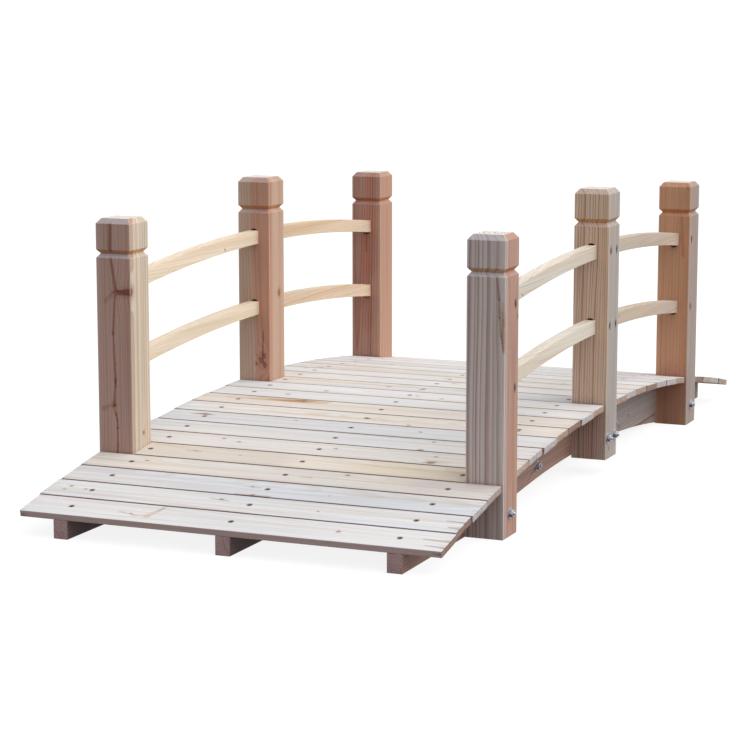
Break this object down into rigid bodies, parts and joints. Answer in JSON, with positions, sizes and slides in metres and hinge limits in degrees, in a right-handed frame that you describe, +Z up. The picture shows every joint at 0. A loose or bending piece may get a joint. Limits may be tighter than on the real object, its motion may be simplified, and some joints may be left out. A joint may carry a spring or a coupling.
{
  "type": "arched wooden garden bridge",
  "caption": "Low arched garden footbridge in bare fir: cross planks on bandsawn stringers, square posts with grooved caps and curved rails on both sides.",
  "frame": {"origin": "on the ground under the crown of the deck, on the bridge's centreline", "axes": "+X across the deck to the right-hand rail, +Y along the bridge to its back end, +Z up"},
  "size_m": [1, 2.3052, 0.707],
  "materials": {
    "deck_fir": "planed, unfinished",
    "post_fir": "planed, unfinished",
    "rail_fir": "planed, unfinished",
    "stringer_fir": "bandsawn, unfinished",
    "splice_fir": "planed, unfinished",
    "bolt_zinc": "zinc plated",
    "screw_steel": "dark coated steel"
  },
  "bodies": {
    "root": {"deck_plank_01": "deck_fir", "deck_plank_02": "deck_fir", "deck_plank_03": "deck_fir", "deck_plank_04": "deck_fir", "deck_plank_05": "deck_fir", "deck_plank_06": "deck_fir", "deck_plank_07": "deck_fir", "deck_plank_08": "deck_fir", "deck_plank_09": "deck_fir", "deck_plank_10": "deck_fir", "deck_plank_11": "deck_fir", "deck_plank_12": "deck_fir", "deck_plank_13": "deck_fir", "deck_plank_14": "deck_fir", "deck_plank_15": "deck_fir", "deck_plank_16": "deck_fir", "deck_plank_17": "deck_fir", "deck_plank_18": "deck_fir", "deck_plank_19": "deck_fir", "deck_plank_20": "deck_fir", "deck_plank_21": "deck_fir", "deck_plank_22": "deck_fir", "deck_plank_23": "deck_fir", "deck_plank_24": "deck_fir", "deck_plank_25": "deck_fir", "post_front_left": "post_fir", "post_front_right": "post_fir", "post_middle_left": "post_fir", "post_middle_right": "post_fir", "post_back_left": "post_fir", "post_back_right": "post_fir", "rail_upper_front_left": "rail_fir", "rail_upper_front_right": "rail_fir", "rail_upper_back_left": "rail_fir", "rail_upper_back_right": "rail_fir", "rail_lower_front_left": "rail_fir", "rail_lower_front_right": "rail_fir", "rail_lower_back_left": "rail_fir", "rail_lower_back_right": "rail_fir", "stringer_left_front": "stringer_fir", "stringer_left_back": "stringer_fir", "stringer_middle_front": "stringer_fir", "stringer_middle_back": "stringer_fir", "stringer_right_front": "stringer_fir", "stringer_right_back": "stringer_fir", "splice_board_left": "splice_fir", "splice_board_middle": "splice_fir", "splice_board_right": "splice_fir"}
  },
  "joints": []
}
